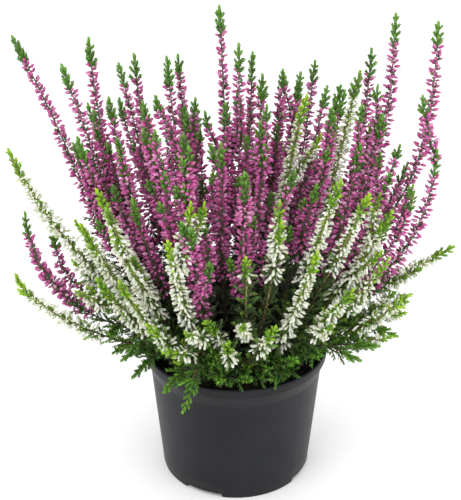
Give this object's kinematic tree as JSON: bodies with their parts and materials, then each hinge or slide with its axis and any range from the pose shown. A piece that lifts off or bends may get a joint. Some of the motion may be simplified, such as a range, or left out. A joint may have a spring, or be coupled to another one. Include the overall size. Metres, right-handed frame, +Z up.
{
  "type": "potted heather",
  "caption": "Bushy potted heather with long upright pink and white flower spikes, green shoot tips and low leafy shoots, in a dark round tapered nursery pot filled with peat.",
  "frame": {"origin": "on the ground under the foot, at the middle of the whole part's plan, 0.4 mm to the right of the pot's axis and 14.0 mm behind it", "axes": "+Z up, parallel to the pot's axis, -Y towards the front that the picture shows, +X to the right of the picture"},
  "size_m": [0.2974, 0.2194, 0.33],
  "materials": {
    "pot_plastic": "satin black nursery plastic",
    "peat": "rough moist dark peat",
    "pink_heather": "magenta-pink buds on brown stems with green tips",
    "white_heather": "off-white buds on yellow-brown stems with lime tips",
    "leafy_heather": "matt mid-green needle-like leaves"
  },
  "bodies": {
    "root": {"pot": "pot_plastic", "peat": "peat", "pink_spray_01": "pink_heather", "pink_spray_02": "pink_heather", "pink_spray_03": "pink_heather", "pink_spray_04": "pink_heather", "pink_spray_05": "pink_heather", "pink_spray_06": "pink_heather", "pink_spray_07": "pink_heather", "pink_spray_08": "pink_heather", "pink_spray_09": "pink_heather", "pink_spray_10": "pink_heather", "pink_spray_11": "pink_heather", "pink_spray_12": "pink_heather", "pink_spray_13": "pink_heather", "pink_spray_14": "pink_heather", "pink_spray_15": "pink_heather", "pink_spray_16": "pink_heather", "pink_spray_17": "pink_heather", "pink_spray_18": "pink_heather", "pink_spray_19": "pink_heather", "pink_spray_20": "pink_heather", "pink_spray_21": "pink_heather", "pink_spray_22": "pink_heather", "pink_spray_23": "pink_heather", "pink_spray_24": "pink_heather", "pink_spray_25": "pink_heather", "pink_spray_26": "pink_heather", "white_spray_01": "white_heather", "white_spray_02": "white_heather", "white_spray_03": "white_heather", "white_spray_04": "white_heather", "white_spray_05": "white_heather", "white_spray_06": "white_heather", "white_spray_07": "white_heather", "white_spray_08": "white_heather", "white_spray_09": "white_heather", "white_spray_10": "white_heather", "white_spray_11": "white_heather", "white_spray_12": "white_heather", "white_spray_13": "white_heather", "leafy_spray_01": "leafy_heather", "leafy_spray_02": "leafy_heather", "leafy_spray_03": "leafy_heather", "leafy_spray_04": "leafy_heather", "leafy_spray_05": "leafy_heather", "leafy_spray_06": "leafy_heather", "leafy_spray_07": "leafy_heather", "leafy_spray_08": "leafy_heather", "leafy_spray_09": "leafy_heather", "leafy_spray_10": "leafy_heather"}
  },
  "joints": []
}
